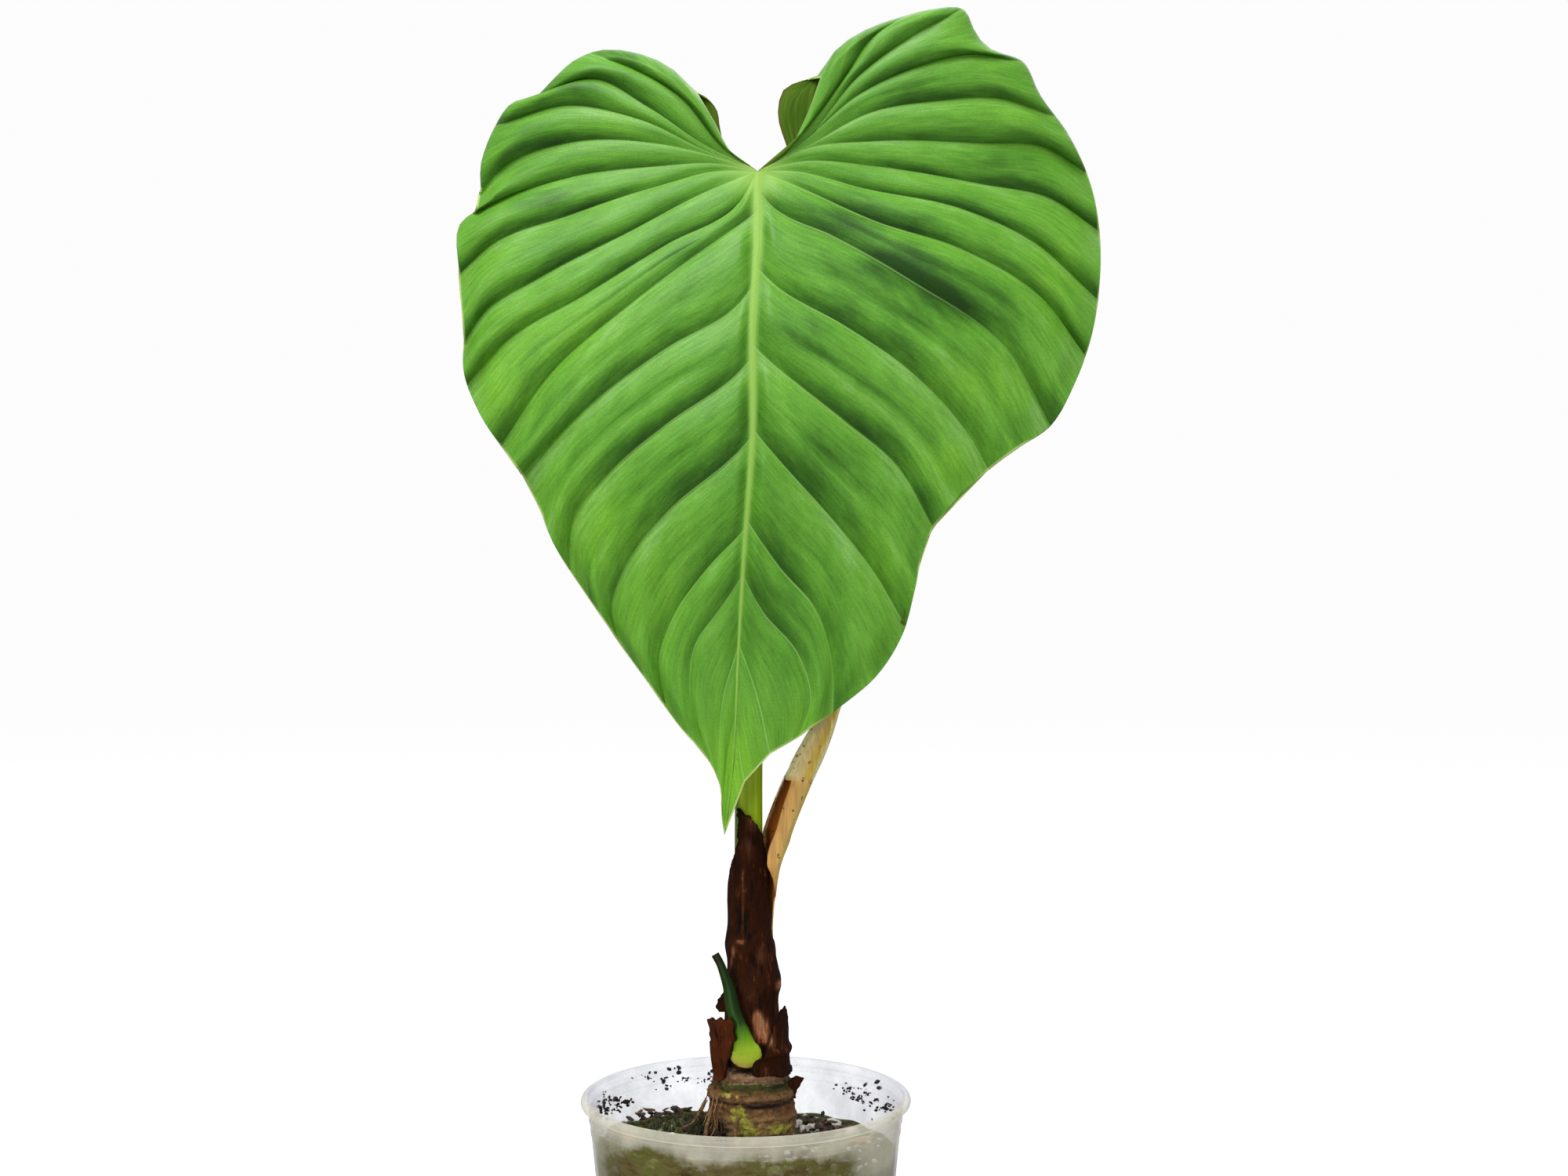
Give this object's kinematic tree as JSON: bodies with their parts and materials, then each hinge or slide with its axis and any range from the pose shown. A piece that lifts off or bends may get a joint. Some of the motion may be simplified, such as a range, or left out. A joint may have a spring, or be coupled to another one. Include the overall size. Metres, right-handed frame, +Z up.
{
  "type": "potted philodendron",
  "caption": "Young philodendron in a translucent nursery pot, with one large quilted heart-shaped leaf, dry sheaths round a short stem, and potting mix with moss and pumice.",
  "frame": {"origin": "centre of the pot's underside", "axes": "+Z up along the pot's axis; the leaf's face looks towards -Y; +X to the right as the leaf is looked at"},
  "size_m": [0.2513, 0.13, 0.5432],
  "materials": {
    "pot_plastic": "translucent whitish plastic, satin",
    "potting_mix": "damp crumbly organic mix",
    "moss": "soft dark moss with bright tips",
    "pumice": "rough white porous stone",
    "bark": "rough dark bark",
    "dry_bit": "dry leaf and husk flakes",
    "root": "dull brown root skin",
    "stem": "ringed green-brown bark",
    "petiole": "smooth pale green skin",
    "leaf": "satin quilted green blade with pale veins",
    "dry_sheath": "glossy dark brown dried sheath",
    "fading_sheath": "tan papery sheath with a green rim"
  },
  "bodies": {
    "root": {"nursery_pot": "pot_plastic", "potting_mix": "potting_mix", "moss_front": "moss", "moss_left": "moss", "moss_back": "moss", "pumice_1": "pumice", "pumice_2": "pumice", "pumice_3": "pumice", "pumice_4": "pumice", "pumice_5": "pumice", "pumice_6": "pumice", "bark_1": "bark", "bark_2": "bark", "bark_3": "bark", "bark_4": "bark", "dry_flake_orange": "dry_bit", "dry_chip_yellow": "dry_bit", "dry_leaf_scrap": "dry_bit", "stem": "stem", "soil_root_1": "root", "soil_root_2": "root", "soil_root_3": "root", "soil_root_4": "root", "soil_root_5": "root", "surface_root_1": "root", "surface_root_2": "root", "surface_root_3": "root", "petiole": "petiole", "leaf_blade": "leaf", "long_sheath": "dry_sheath", "fading_sheath": "fading_sheath", "petiole_stub": "petiole", "torn_sheath_left": "dry_sheath", "torn_sheath_right": "dry_sheath", "torn_sheath_back": "dry_sheath"}
  },
  "joints": []
}
